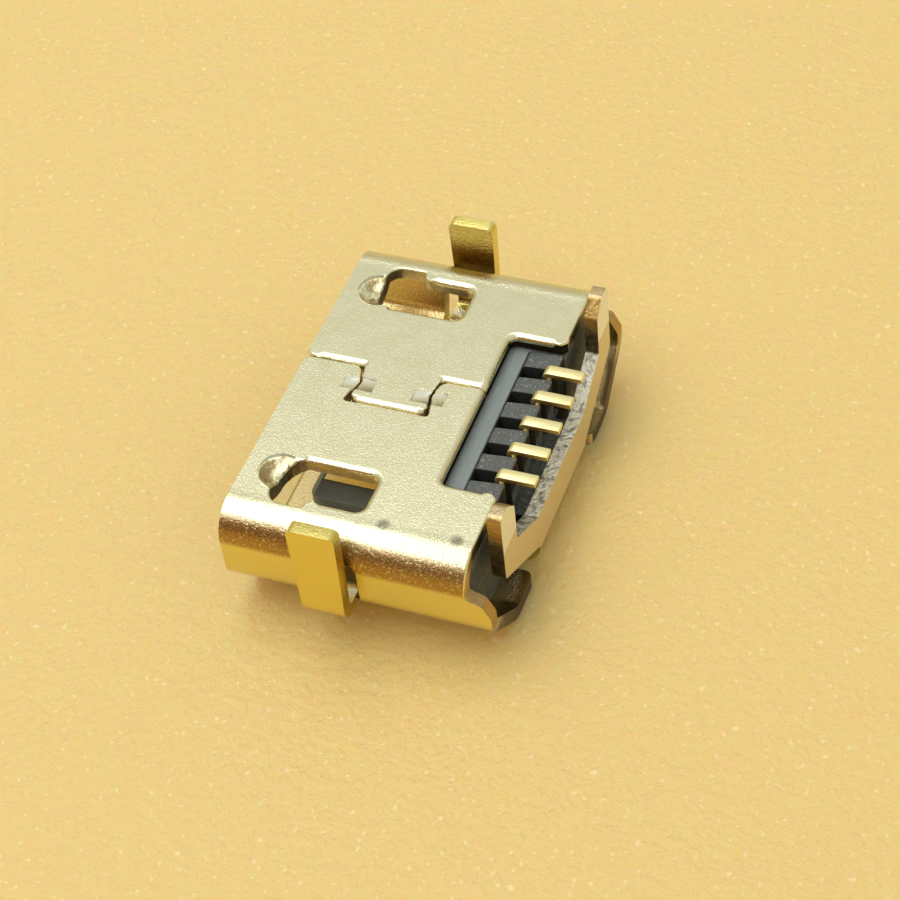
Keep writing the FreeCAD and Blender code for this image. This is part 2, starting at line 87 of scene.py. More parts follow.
class ShellSettings(bpy.types.PropertyGroup):
    """Sizes and colours of the plated sheet shell."""
    wide_face: bpy.props.FloatProperty(
        name="Wide face height", description="Height of the board face above the floor",
        default=2.35 * MM, unit="LENGTH")
    half_width: bpy.props.FloatProperty(
        name="Half width", description="Distance from the middle plane to the outside of a side wall",
        default=3.70 * MM, unit="LENGTH")
    sheet: bpy.props.FloatProperty(
        name="Sheet", description="Thickness of the sheet", default=0.25 * MM, unit="LENGTH")
    bend: bpy.props.FloatProperty(
        name="Bend", description="Outside radius of the bends beside the board face",
        default=0.60 * MM, unit="LENGTH")
    edge_roll: bpy.props.FloatProperty(
        name="Edge roll", description="Radius that the punch leaves round each opening",
        default=0.12 * MM, unit="LENGTH")
    seam_roll: bpy.props.FloatProperty(
        name="Seam edge", description="Radius on the seam's crisper edge",
        default=0.03 * MM, unit="LENGTH")
    seam_reach: bpy.props.FloatProperty(
        name="Seam reach", description="Half width of the strip that holds the whole seam",
        default=1.00 * MM, unit="LENGTH")
    seam_end: bpy.props.FloatProperty(
        name="Seam end", description="Place along the socket where the seam meets the notch",
        default=0.90 * MM, unit="LENGTH")
    tight_roll: bpy.props.FloatProperty(
        name="Tight roll", description="Radius by the lips, the bends, the mouth and the rear end",
        default=0.04 * MM, unit="LENGTH")
    step_end: bpy.props.FloatProperty(
        name="Step end", description="Place along the socket where the latch windows' steps end",
        default=-0.98 * MM, unit="LENGTH")
    lip_across: bpy.props.FloatProperty(
        name="Lip across", description="Distance of a lip's middle from the middle plane",
        default=2.37 * MM, unit="LENGTH")
    lip_along: bpy.props.FloatProperty(
        name="Lip along", description="Place of the lips along the socket",
        default=-1.84 * MM, unit="LENGTH")
    lip_reach: bpy.props.FloatProperty(
        name="Lip reach", description="Radius of a lip in the board face",
        default=0.42 * MM, unit="LENGTH")
    lip_draw: bpy.props.FloatProperty(
        name="Lip draw", description="How far the lips before the latch windows are drawn down",
        default=0.18 * MM, unit="LENGTH")
    plate_end: bpy.props.FloatProperty(
        name="Plate end", description="Place along the socket of the board face's rear end",
        default=2.00 * MM, unit="LENGTH")
    cradle_top: bpy.props.FloatProperty(
        name="Cradle top", description="Height at which the lower half starts to reach further back",
        default=1.71 * MM, unit="LENGTH")
    leg_roll: bpy.props.FloatProperty(
        name="Leg edge roll", description="Radius along the inner edges of the side legs",
        default=0.08 * MM, unit="LENGTH")
    ear_roll: bpy.props.FloatProperty(
        name="Ear edge roll", description="Radius along the ears' tips",
        default=0.08 * MM, unit="LENGTH")
    edge_break: bpy.props.FloatProperty(
        name="Edge break", description="Small radius on every other sharp edge",
        default=0.02 * MM, unit="LENGTH")
    notch_half: bpy.props.FloatProperty(
        name="Notch half width", description="Half width of the rear notch with its flared end",
        default=2.00 * MM, unit="LENGTH")
    dents_along: bpy.props.FloatVectorProperty(
        name="Dents along", description="Places along the socket of two dents by the near bend",
        default=(0.35 * MM, 1.68 * MM), size=2, unit="LENGTH")
    dent_inset: bpy.props.FloatProperty(
        name="Dent inset", description="Distance of the dents from the start of the bend",
        default=0.06 * MM, unit="LENGTH")
    dent_reach: bpy.props.FloatProperty(
        name="Dent reach", description="Radius of the dull spot at a dent",
        default=0.17 * MM, unit="LENGTH")
    plate_colour: bpy.props.FloatVectorProperty(
        name="Plate colour", description="Colour of the plated sheet",
        default=(0.84, 0.80, 0.54), subtype="COLOR", min=0, max=1)
    patch_colour: bpy.props.FloatVectorProperty(
        name="Patch colour", description="Colour of the faint warmer patches in the plating",
        default=(0.74, 0.69, 0.42), subtype="COLOR", min=0, max=1)
    cut_colour: bpy.props.FloatVectorProperty(
        name="Cut colour", description="Colour of the sheet's sheared faces",
        default=(0.64, 0.55, 0.38), subtype="COLOR", min=0, max=1)
    # Partly real, partly painted highlight: the back plate's top edge is pale bare sheared steel,
    # lightened further because it faces up; the ears' up-facing tips get a painted highlight.
    fleck_and_glint_colour: bpy.props.FloatVectorProperty(
        name="Fleck colour", description="Pale colour on the back plate's top edge and the ears' tips",
        default=(0.86, 0.88, 0.74), subtype="COLOR", min=0, max=1)
    # Painted reflection: the drawn lips are painted browner for the brown surroundings that they
    # mirror, which also dims the lamp's highlight on them.
    lip_reflection_colour: bpy.props.FloatVectorProperty(
        name="Lip colour", description="Browner colour of the drawn lips",
        default=(0.38, 0.28, 0.12), subtype="COLOR", min=0, max=1)
    stake_colour: bpy.props.FloatVectorProperty(
        name="Stake colour", description="Bright colour of the burnished staking marks",
        default=(0.96, 0.95, 0.80), subtype="COLOR", min=0, max=1)
    # Painted reflection: a brown band along the lower part of the bends, standing for the dark side of
    # the room that they mirror.
    band_reflection_colour: bpy.props.FloatVectorProperty(
        name="Tarnish colour", description="Brown tarnish along the lower part of the bends",
        default=(0.36, 0.20, 0.065), subtype="COLOR", min=0, max=1)
    # Painted reflection: the sheared faces at the ears and the upper cradle are painted gold, standing
    # for the warm floor that they mirror.
    gold_reflection_colour: bpy.props.FloatVectorProperty(
        name="Tip colour", description="Gold of the sheared faces at the ears and the cradle",
        default=(0.46, 0.29, 0.08), subtype="COLOR", min=0, max=1)
    # Partly painted shade: the notch walls are painted nearly black, both dark oxide and the shade in
    # the narrow gap beside the insulator.
    notch_colour: bpy.props.FloatVectorProperty(
        name="Notch wall colour", description="Nearly black walls of the rear notch",
        default=(0.012, 0.010, 0.006), subtype="COLOR", min=0, max=1)
    # Real dark stains on the sheared faces, the ledge and the dents; the same colour also paints shade
    # low on the cradle near the floor and darkens the back plate's sheared sides towards the bottom.
    stain_and_shade_colour: bpy.props.FloatVectorProperty(
        name="Stain colour", description="Dark stains on the sheared faces and at the dents",
        default=(0.045, 0.032, 0.022), subtype="COLOR", min=0, max=1)
    # Painted reflection: the side walls are painted a warmer gold, standing for the golden floor that
    # they mirror.
    wall_reflection_colour: bpy.props.FloatVectorProperty(
        name="Wall colour", description="Warmer colour of the side walls",
        default=(0.78, 0.66, 0.21), subtype="COLOR", min=0, max=1)
    # Painted light: the back plate is painted paler, and made less metallic in the material, to lift a
    # face that mirrors the shaded floor behind the socket.
    back_painted_light_colour: bpy.props.FloatVectorProperty(
        name="Back colour", description="Paler colour of the back plate",
        default=(0.92, 0.91, 0.76), subtype="COLOR", min=0, max=1)
    # Painted shade: the sheet's faces inside the socket are painted duller and browner for the shade
    # in the hollow.
    inside_shade_colour: bpy.props.FloatVectorProperty(
        name="Inside colour", description="Duller colour of the sheet inside the socket",
        default=(0.68, 0.50, 0.20), subtype="COLOR", min=0, max=1)
    # Painted shade: the legs' faces towards the shell are painted darker for the shade between each
    # leg and the shell.
    leg_inner_shade_colour: bpy.props.FloatVectorProperty(
        name="Leg inside colour", description="Colour of the legs' faces towards the shell",
        default=(0.42, 0.32, 0.10), subtype="COLOR", min=0, max=1)
    # Painted reflection: the legs' sides, though not their tops, are painted a warmer gold, standing
    # for the golden floor that they mirror.
    leg_reflection_colour: bpy.props.FloatVectorProperty(
        name="Leg colour", description="Warmer colour of the two side legs",
        default=(0.78, 0.64, 0.15), subtype="COLOR", min=0, max=1)


class HousingSettings(bpy.types.PropertyGroup):
    """Sizes and colours of the moulded insulator."""
    edge_break: bpy.props.FloatProperty(
        name="Edge break", description="Small radius on the moulding's edges",
        default=0.02 * MM, unit="LENGTH")
    rib_start: bpy.props.FloatProperty(
        name="Rib start", description="Place along the socket where the ribs begin",
        default=1.30 * MM, unit="LENGTH")
    rib_top: bpy.props.FloatProperty(
        name="Rib top", description="Height just under the tops of the ribs",
        default=2.08 * MM, unit="LENGTH")
    row_end: bpy.props.FloatProperty(
        name="Row end", description="Distance from the middle plane to the end of the row of ribs",
        default=1.80 * MM, unit="LENGTH")
    bar_colour: bpy.props.FloatVectorProperty(
        name="Bar colour", description="Colour of the smooth moulded faces",
        default=(0.215, 0.25, 0.24), subtype="COLOR", min=0, max=1)
    rib_colour: bpy.props.FloatVectorProperty(
        name="Rib colour", description="Colour of the rough tops of the ribs",
        default=(0.13, 0.142, 0.128), subtype="COLOR", min=0, max=1)
    # Painted shade: the grooves between the ribs and the lower faces of the moulding are painted
    # nearly black for the shade in them; the joint where the ribs begin gets the same dark line.
    groove_shade_colour: bpy.props.FloatVectorProperty(
        name="Depth colour", description="Nearly black colour of the grooves between the ribs",
        default=(0.012, 0.012, 0.010), subtype="COLOR", min=0, max=1)
    scuff_colour: bpy.props.FloatVectorProperty(
        name="Scuff colour", description="Colour of fibres and scuffs at the surface",
        default=(0.32, 0.35, 0.325), subtype="COLOR", min=0, max=1)


class ContactSettings(bpy.types.PropertyGroup):
    """Sizes and colours of the contacts."""
    edge_break: bpy.props.FloatProperty(
        name="Edge break", description="Small radius on the stamped edges",
        default=0.012 * MM, unit="LENGTH")
    gilt_colour: bpy.props.FloatVectorProperty(
        name="Gilt colour", description="Colour of the thin gold plate",
        default=(0.94, 0.84, 0.44), subtype="COLOR", min=0, max=1)
    side_colour: bpy.props.FloatVectorProperty(
        name="Side colour", description="Colour of the contacts' cut sides",
        default=(0.50, 0.36, 0.12), subtype="COLOR", min=0, max=1)


class StageSettings(bpy.types.PropertyGroup):
    """Floor, soft light, lamp and camera."""
    floor_colour: bpy.props.FloatVectorProperty(
        name="Floor colour", description="Colour of the plain floor",
        default=(0.80, 0.60, 0.235), subtype="COLOR", min=0, max=1)
    # Painted highlight: small pale flecks stand for glints on the floor's glossy pebbles.
    fleck_and_glint_colour: bpy.props.FloatVectorProperty(
        name="Fleck colour", description="Colour of the small pale flecks in the floor's skin",
        default=(1.0, 0.92, 0.62), subtype="COLOR", min=0, max=1)
    floor_width: bpy.props.FloatProperty(
        name="Floor width", description="Width of the square floor", default=1.2, unit="LENGTH")
    sky_colour: bpy.props.FloatVectorProperty(
        name="Sky colour", description="Colour of the soft light from above",
        default=(0.99, 1.0, 0.96), subtype="COLOR", min=0, max=1)
    shade_colour: bpy.props.FloatVectorProperty(
        name="Shade colour", description="Colour of the dark patch on one side of the room",
        default=(0.44, 0.20, 0.05), subtype="COLOR", min=0, max=1)
    horizon_colour: bpy.props.FloatVectorProperty(
        name="Horizon colour", description="Colour of the soft light near the floor's level",
        default=(0.80, 0.70, 0.46), subtype="COLOR", min=0, max=1)
    room_strength: bpy.props.FloatProperty(
        name="Room strength", description="Strength of the room's soft light", default=0.73)
    lamp_width: bpy.props.FloatProperty(
        name="Lamp width", description="Size of the soft lamp across the socket", default=0.465,
        unit="LENGTH")
    lamp_depth: bpy.props.FloatProperty(
        name="Lamp depth", description="Size of the soft lamp along the socket", default=0.20,
        unit="LENGTH")
    lamp_place: bpy.props.FloatVectorProperty(
        name="Lamp place", description="Middle of the soft lamp",
        default=(0.068, -0.10, 0.29), subtype="TRANSLATION", unit="LENGTH")
    lamp_power: bpy.props.FloatProperty(
        name="Lamp power", description="Power of the soft lamp", default=0.62, unit="POWER")
    camera_place: bpy.props.FloatVectorProperty(
        name="Camera place", description="Where the camera stands",
        default=(24.946 * MM, 12.157 * MM, 30.209 * MM), subtype="TRANSLATION", unit="LENGTH")
    camera_aim: bpy.props.FloatVectorProperty(
        name="Camera aim", description="The point at the middle of the picture",
        default=(0.135 * MM, 0.389 * MM, 1.20 * MM), subtype="TRANSLATION", unit="LENGTH")
    camera_roll: bpy.props.FloatProperty(
        name="Camera roll", description="Turn of the camera about its own axis",
        default=math.radians(-7.257), unit="ROTATION")
    camera_lens: bpy.props.FloatProperty(
        name="Lens", description="Focal length on a 36 mm wide sensor",
        default=88.64, unit="CAMERA")


class Value:
    """A number socket of a material, on which ordinary Python arithmetic adds Math nodes."""

    def __init__(self, finish, socket):
        self.finish = finish
        self.socket = socket

    def __add__(self, other):
        return self.finish.math("ADD", self, other)

    __radd__ = __add__

    def __sub__(self, other):
        return self.finish.math("SUBTRACT", self, other)

    def __rsub__(self, other):
        return self.finish.math("SUBTRACT", other, self)

    def __mul__(self, other):
        return self.finish.math("MULTIPLY", self, other)

    __rmul__ = __mul__

    def __abs__(self):
        return self.finish.math("ABSOLUTE", self)

    def at_most(self, limit):
        """The value, cut off at a limit."""
        return self.finish.math("MINIMUM", self, limit)

    def ramp(self, low, high):
        """0 at low, 1 at high and smooth between them; low may be the greater of the two."""
        return self.finish.node(
            "ShaderNodeMapRange", {"interpolation_type": "SMOOTHSTEP"},
            self, low, high, 0.0, 1.0)

    def part(self, name):
        """Another output of the same node."""
        return Value(self.finish, self.socket.node.outputs[name])


class Finish:
    """A material or world in the making, whose nodes are all added by one method."""

    def __init__(self, tree):
        self.tree = tree
        self.tree.nodes.clear()

    def node(self, kind, settings, *values, **named):
        """Adds a node: its settings are set first, then its sockets in order and by name."""
        node = self.tree.nodes.new(kind)
        for name, value in settings.items():
            setattr(node, name, value)
        places = [socket for socket in node.inputs if socket.enabled]
        pairs = list(zip(places, values))
        pairs += [(node.inputs[name.replace("_", " ")], value) for name, value in named.items()]
        for socket, value in pairs:
            if isinstance(value, Value):
                self.tree.links.new(value.socket, socket)
            else:
                socket.default_value = value
        shown = [socket for socket in node.outputs if socket.enabled]
        return Value(self, shown[0]) if shown else None

    def math(self, operation, *values):
        """The result of a Math node on numbers or values, in their order."""
        return self.node("ShaderNodeMath", {"operation": operation}, *values)

    def parts(self, vector):
        """The three numbers of a vector."""
        split = self.node("ShaderNodeSeparateXYZ", {}, vector)
        return [split.part(axis) for axis in "XYZ"]

    def place(self):
        """Object coordinates in millimetres."""
        metres = self.node("ShaderNodeTexCoord", {}).part("Object")
        return self.node("ShaderNodeVectorMath", {"operation": "SCALE"}, metres, Scale=1 / MM)

    def facing(self):
        """The three parts of the surface's normal."""
        return self.parts(self.node("ShaderNodeNewGeometry", {}).part("Normal"))

    def stretched(self, vector, x, y, z):
        """A vector scaled by a different number along each axis."""
        return self.node("ShaderNodeVectorMath", {"operation": "MULTIPLY"}, vector, (x, y, z))

    def noise(self, vector, scale, detail, roughness):
        """A noise value from 0 to 1."""
        return self.node(
            "ShaderNodeTexNoise", {}, Vector=vector, Scale=scale, Detail=detail, Roughness=roughness)

    def spot(self, place, middle, radius):
        """1 near a place in millimetres, falling to 0 at a radius from it."""
        distance = self.node("ShaderNodeVectorMath", {"operation": "DISTANCE"}, place, middle)
        return distance.ramp(radius, radius * 0.3)

    def blend(self, factor, first, second):
        """A colour between two colours."""
        return self.node(
            "ShaderNodeMix", {"data_type": "RGBA"}, factor, opaque(first), opaque(second))

    def layered(self, colour, layers):
        """A colour with others laid over it in their order, each by a mask of its own."""
        for mask, over in layers:
            colour = self.blend(mask, colour, over)
        return colour

    def bump(self, height, distance, strength=1.0):
        """A normal bent by a height value, in metres."""
        return self.node(
            "ShaderNodeBump", {}, Strength=strength, Distance=distance, Height=height)


def opaque(colour):
    """A colour of a setting as four numbers, or a link as it is."""
    if isinstance(colour, Value):
        return colour
    return (*tuple(colour)[:3], 1.0)


def new_finish(name):
    """A new material and the finish that fills it."""
    material = bpy.data.materials.new(name)
    material.use_nodes = True
    return material, Finish(material.node_tree)


def shaded(finish, **sockets):
    """Adds the surface shader and the material's output."""
    shader = finish.node("ShaderNodeBsdfPrincipled", {}, **sockets)
    finish.node("ShaderNodeOutputMaterial", {}, Surface=shader)


def plated_sheet(name, settings):
    """Satin plating on drawn sheet: faint patches, fine grain, coarser grain on the bends, and painted
    reflections and shade on the bends, walls, legs, lips, back plate and inside.
    """
    material, finish = new_finish(name)
    place = finish.place()
    x, y, z = finish.parts(place)
    across, along, up = finish.facing()
    aside = abs(x)
    wall = settings.half_width / MM
    bend_start = (settings.half_width - settings.bend) / MM
    back_inside = (SHELL_HIGH.y - settings.sheet) / MM
    patches = finish.noise(place, scale=2.4, detail=1.0, roughness=0.5).ramp(0.35, 0.70)
    grain = finish.noise(place, scale=24.0, detail=3.0, roughness=0.6)
    peel = finish.noise(place, scale=19.0, detail=2.0, roughness=0.6)
    speckle = finish.noise(place, scale=34.0, detail=2.0, roughness=0.6)
    crease = finish.noise(place, scale=5.0, detail=3.0, roughness=0.6)
    bends = aside.ramp(bend_start - 0.15, bend_start + 0.10)
    low_bends = aside.ramp(wall - 0.30, wall - 0.16) * z.ramp(1.66, 1.80)
    walls = aside.ramp(wall - 0.12, wall - 0.01)
    legs = aside.ramp(wall + 0.02, wall + 0.10)
    # Painted light: faces towards the rear are painted paler and less metallic, so that the back plate
    # reads brighter.
    back = y.ramp(back_inside - 0.01, back_inside + 0.09) * along.ramp(0.4, 0.8)
    lips = lip_mask(aside, y, z, settings)
    # Painted reflection: a mottled brown band along the lower part of the bends, for the dark side of
    # the room that they mirror.
    band_reflection = low_bends * (1.0 - along.ramp(0.3, 0.6)) * (1.0 - legs) * peel.ramp(0.25, 0.48)
    mottle = patches * 0.30 + grain.ramp(0.42, 0.68) * 0.30 + speckle.ramp(0.42, 0.62) * 0.20
    layers = [
        (mottle, settings.patch_colour),
        # Painted reflection of the golden floor on the side walls.
        (walls, settings.wall_reflection_colour),
        # Painted light on the back plate.
        (back, settings.back_painted_light_colour),
        # Painted reflection of the dark room on the lower bends.
        (band_reflection * 0.92, settings.band_reflection_colour),
        # Painted shade inside the socket.
        (inside_mask(aside, z, settings) * 0.8, settings.inside_shade_colour),
        # Painted reflection of the golden floor on the legs' sides.
        (legs * (1.0 - up.ramp(0.5, 0.9)), settings.leg_reflection_colour),
        # Painted shade on the legs' faces towards the shell.
        (legs * (x * across).ramp(-0.5, -2.5), settings.leg_inner_shade_colour)]
    for dent in dents(settings):
        spot = finish.spot(place, dent, settings.dent_reach / MM)
        layers.append((spot * peel.ramp(0.15, 0.50) * 0.6, settings.stain_and_shade_colour))
    layers.append((stake_mask(aside, y, z, settings) * 0.75, settings.stake_colour))
    # Painted reflection: browner lips, for the brown surroundings that they mirror.
    layers.append((lips * crease.ramp(0.62, 0.40) * 0.97, settings.lip_reflection_colour))
    fine = peel * (0.06 + bends * 0.3) + speckle * (0.12 + bends * 0.35)
    height = grain * 0.25 + fine + lips * crease * 2.0
    shaded(
        finish, Base_Color=finish.layered(settings.plate_colour, layers),
        Metallic=1.0 - back * 0.6, Roughness=0.18 + grain * 0.08 - bends * 0.07 + lips * 0.20,
        Normal=finish.bump(height, 0.02 * MM, 0.8))
    return material


def inside_mask(aside, z, settings):
    """The faces of the sheet that look into the socket, where shade is painted."""
    inner_wall = (settings.half_width - settings.sheet) / MM
    inner_level = (settings.wide_face - settings.sheet) / MM
    return aside.ramp(inner_wall + 0.04, inner_wall) * z.ramp(inner_level + 0.04, inner_level)


def lip_mask(aside, y, z, settings):
    """The lips drawn down in front of the latch windows."""
    level = settings.wide_face / MM
    inner_level = (settings.wide_face - settings.sheet) / MM
    lip = settings.lip_along / MM
    bend_start = (settings.half_width - settings.bend) / MM
    sunk = z.ramp(level - 0.005, level - 0.05) * z.ramp(inner_level, inner_level + 0.04)
    near_lip = y.ramp(lip + 0.24, lip + 0.09) * y.ramp(lip - 0.56, lip - 0.46)
    return sunk * near_lip * aside.ramp(bend_start, bend_start - 0.2)


def stake_mask(aside, y, z, settings):
    """The shallow floors of the staking marks beside the seam."""
    level = settings.wide_face / MM
    sunk = z.ramp(level - 0.012, level - 0.022) * z.ramp(level - 0.08, level - 0.05)
    return sunk * aside.ramp(0.28, 0.24) * y.ramp(0.6, 0.5)


def dents(settings):
    """Places in millimetres of the two small dull dents beside the near bend."""
    beside = (settings.half_width - settings.bend - settings.dent_inset) / MM
    return [(beside, along / MM, settings.wide_face / MM) for along in settings.dents_along]


def cut_sheet(name, settings):
    """Sheared faces of the sheet: brown and stained, with a painted gold reflection at the ears and
    upper cradle, pale bare steel along the rear with a painted highlight where it faces up, and
    painted shade low on the cradle.
    """
    material, finish = new_finish(name)
    place = finish.place()
    x, y, z = finish.parts(place)
    up = finish.facing()[2]
    level = settings.wide_face / MM
    plate_end = settings.plate_end / MM
    bend_start = (settings.half_width - settings.bend) / MM
    tear = finish.noise(place, scale=7.0, detail=3.0, roughness=0.6)
    fleck = finish.noise(place, scale=16.0, detail=2.0, roughness=0.6)
    rear = y.ramp(plate_end - 0.3, plate_end + 0.1)
    ears = rear * z.ramp(level - 0.25, level + 0.25)
    tips = ears * up.ramp(0.75, 0.95)
    ends = abs(x).ramp(bend_start + 0.05, bend_start + 0.20)
    cradle = ends * rear
    ledge = rear * up.ramp(0.5, 0.8) * (1.0 - ears) * (1.0 - ends)
    # The back plate's sheared side faces are painted darker towards the bottom.
    foot = rear * z.ramp(level + 0.25, level - 0.15) * (1.0 - abs(up)) * (1.0 - ends)
    stain = tear.ramp(0.65, 0.35) * (0.30 + rear * 0.55) * (1.0 - ears)
    layers = [
        (stain * 0.6, settings.stain_and_shade_colour),
        # Painted reflection: gold on the ears' sheared faces.
        (ears * 0.9, settings.gold_reflection_colour),
        # Painted highlight on faces that look up: the ledge's pale bare steel is brightened and the
        # ears' tips are lightened.
        (ledge * 0.5 + tips * 0.2, settings.fleck_and_glint_colour),
        (ledge * tear.ramp(0.50, 0.36) * 0.6, settings.stain_and_shade_colour),
        # Painted reflection and shade: the cradle's sheared faces are gold above and nearly black near
        # the floor, for the floor and its contact shadow that they mirror.
        (cradle * z.ramp(0.8, 1.2) * 0.8, settings.gold_reflection_colour),
        (cradle * z.ramp(0.9, 0.6) * 0.85, settings.stain_and_shade_colour),
        # Darker towards the bottom of the back plate's sheared sides.
        (foot * 0.8, settings.stain_and_shade_colour)]
    height = tear * 0.6 + fleck * (0.5 + ledge * 1.2)
    shaded(
        finish, Base_Color=finish.layered(settings.cut_colour, layers),
        Metallic=1.0 - ledge * 0.45, Roughness=0.30 + tear * 0.15,
        Normal=finish.bump(height, 0.02 * MM))
    return material


def dark_wall(name, settings):
    """Nearly black matt walls of the rear notch: dark oxide and painted shade of the narrow gap beside
    the insulator.
    """
    material, finish = new_finish(name)
    tear = finish.noise(finish.place(), scale=9.0, detail=3.0, roughness=0.6)
    colour = finish.blend(tear.ramp(0.55, 0.75) * 0.6, settings.notch_colour, settings.stain_and_shade_colour)
    shaded(
        finish, Base_Color=colour, Roughness=0.85 + tear * 0.1, Specular_IOR_Level=0.05,
        Normal=finish.bump(tear, 0.01 * MM))
    return material


def moulded_plastic(name, settings):
    """Glass-filled moulding: smooth with fine scratches on the bar, coarse on the ribs."""
    material, finish = new_finish(name)
    place = finish.place()
    x, y, z = finish.parts(place)
    up = finish.facing()[2]
    aside = abs(x)
    rib_start = settings.rib_start / MM
    rib_top = settings.rib_top / MM
    row_end = settings.row_end / MM
    along_flow = finish.stretched(place, 3.0, 14.0, 8.0)
    along_scratches = finish.stretched(place, 2.0, 60.0, 20.0)
    flow = finish.noise(along_flow, scale=1.0, detail=4.0, roughness=0.65)
    scratch = finish.noise(along_scratches, scale=1.0, detail=3.0, roughness=0.6).ramp(0.56, 0.68)
    flecks = finish.noise(place, scale=11.0, detail=4.0, roughness=0.75).ramp(0.45, 0.62)
    ribs = y.ramp(rib_start - 0.02, rib_start + 0.02)
    # Painted shade: darker lower down, nearly black in the grooves between the ribs and along the
    # joint where they begin.
    grooves = z.ramp(rib_top + 0.02, rib_top - 0.02) * ribs * up.ramp(0.9, 0.5)
    grooves = grooves * aside.ramp(row_end + 0.10, row_end)
    depths = z.ramp(rib_top - 0.10, rib_top - 0.28)
    joint = abs(y - rib_start).ramp(0.035, 0.015) * aside.ramp(row_end + 0.06, row_end)
    layers = [
        (ribs, settings.rib_colour),
        (flecks * (0.12 + ribs * 0.48), settings.scuff_colour),
        (scratch * (1.0 - ribs) * 0.8, settings.scuff_colour),
        ((depths * 0.35 + grooves + joint * 0.9).at_most(1.0), settings.groove_shade_colour)]
    height = flow * 0.25 + flecks * (0.10 + ribs * 0.9)
    shaded(
        finish, Base_Color=finish.layered(settings.bar_colour, layers),
        Roughness=0.42 + ribs * 0.2 + flow * 0.1 + grooves * 0.3,
        Normal=finish.bump(height, 0.02 * MM))
    return material


def gilt(name, settings):
    """Thin gold plate on stamped strip, with brushed tops and darker sides."""
    material, finish = new_finish(name)
    across = finish.facing()[0]
    along_brush = finish.stretched(finish.place(), 30.0, 4.0, 10.0)
    brush = finish.noise(along_brush, scale=1.0, detail=3.0, roughness=0.5)
    colour = finish.blend(abs(across).ramp(0.5, 0.9), settings.gilt_colour, settings.side_colour)
    shaded(
        finish, Base_Color=colour, Metallic=1.0, Roughness=0.34 + brush * 0.12,
        Normal=finish.bump(brush, 0.01 * MM, 0.6))
    return material


def stage_surface(name, settings):
    """Plain floor, a little translucent, with a fine pebbled skin and small pale flecks painted as
    glints on the pebbles.
    """
    material, finish = new_finish(name)
    place = finish.place()
    pebbles = finish.noise(place, scale=4.5, detail=2.0, roughness=0.6)
    # Painted highlight: pale glints on the floor's pebbles.
    sparks = finish.noise(place, scale=6.5, detail=1.0, roughness=0.5).ramp(0.64, 0.76)
    colour = finish.blend(sparks * 0.35, settings.floor_colour, settings.fleck_and_glint_colour)
    shaded(
        finish, Base_Color=colour, Roughness=0.5,
        Subsurface_Weight=1.0, Subsurface_Radius=(1.0, 0.35, 0.08), Subsurface_Scale=0.9 * MM,
        Normal=finish.bump(pebbles, 0.06 * MM))
    return material


def merged_copy(node, reach=TINY):
    """A bmesh of a frame node's mesh with its loose triangles joined into whole faces."""
    mesh = bmesh.new()
    mesh.from_mesh(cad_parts[node].data)
    bmesh.ops.remove_doubles(mesh, verts=mesh.verts, dist=reach)
    bmesh.ops.dissolve_limit(
        mesh, angle_limit=math.radians(1.0), verts=mesh.verts, edges=mesh.edges)
    mesh.faces.layers.int.new(FACE_RANK)
    return mesh


def sharp_edges(mesh, least):
    """Outward edges that turn by more than an angle in degrees."""
    return [
        edge for edge in mesh.edges
        if len(edge.link_faces) == 2 and edge.is_convex
        and edge.calc_face_angle(0) > math.radians(least)]


def rounded(mesh, edges, offset, segments, clamp=True):
    """Rounds edges, gives the new faces the first material and ranks them as weak."""
    made = bmesh.ops.bevel(
        mesh, geom=edges, offset=offset, offset_type="OFFSET", segments=segments, profile=0.5,
        affect="EDGES", clamp_overlap=clamp, loop_slide=False, material=-1)
    rank = mesh.faces.layers.int[FACE_RANK]
    for face in made["faces"]:
        face[rank] = WEAK_FACE
        face.material_index = 0


def rank_flat_faces(mesh, least_width):
    """Ranks the wider flat faces as strong, so that they shade flat up to their edges."""
    bmesh.ops.dissolve_degenerate(mesh, dist=TINY, edges=mesh.edges)
    rank = mesh.faces.layers.int[FACE_RANK]
    for face in mesh.faces:
        if face[rank] != WEAK_FACE and 2 * face.calc_area() > least_width * face.calc_perimeter():
            face[rank] = STRONG_FACE


def new_piece(name, mesh, materials):
    """Turns a bmesh into a smooth-shaded object whose creases stay crisp."""
    data = bpy.data.meshes.new(name)
    mesh.to_mesh(data)
    mesh.free()
    for material in materials:
        data.materials.append(material)
    data.shade_smooth()
    data.set_sharp_from_angle(angle=math.radians(CREASE))
    piece = bpy.data.objects.new(name, data)
    bpy.context.scene.collection.objects.link(piece)
    return piece


def add_even_shading(piece):
    """Keeps the flat faces flat beside the rounded edges."""
    weighted = piece.modifiers.new("even_shading", "WEIGHTED_NORMAL")
    weighted.mode = "FACE_AREA"
    weighted.keep_sharp = True
    weighted.use_face_influence = True


def stand_in(piece, node):
    """Lets a piece take a frame node's place."""
    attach(piece, "root")
    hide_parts(node)


def middle(edge):
    """The point halfway along an edge."""
    return (edge.verts[0].co + edge.verts[1].co) / 2


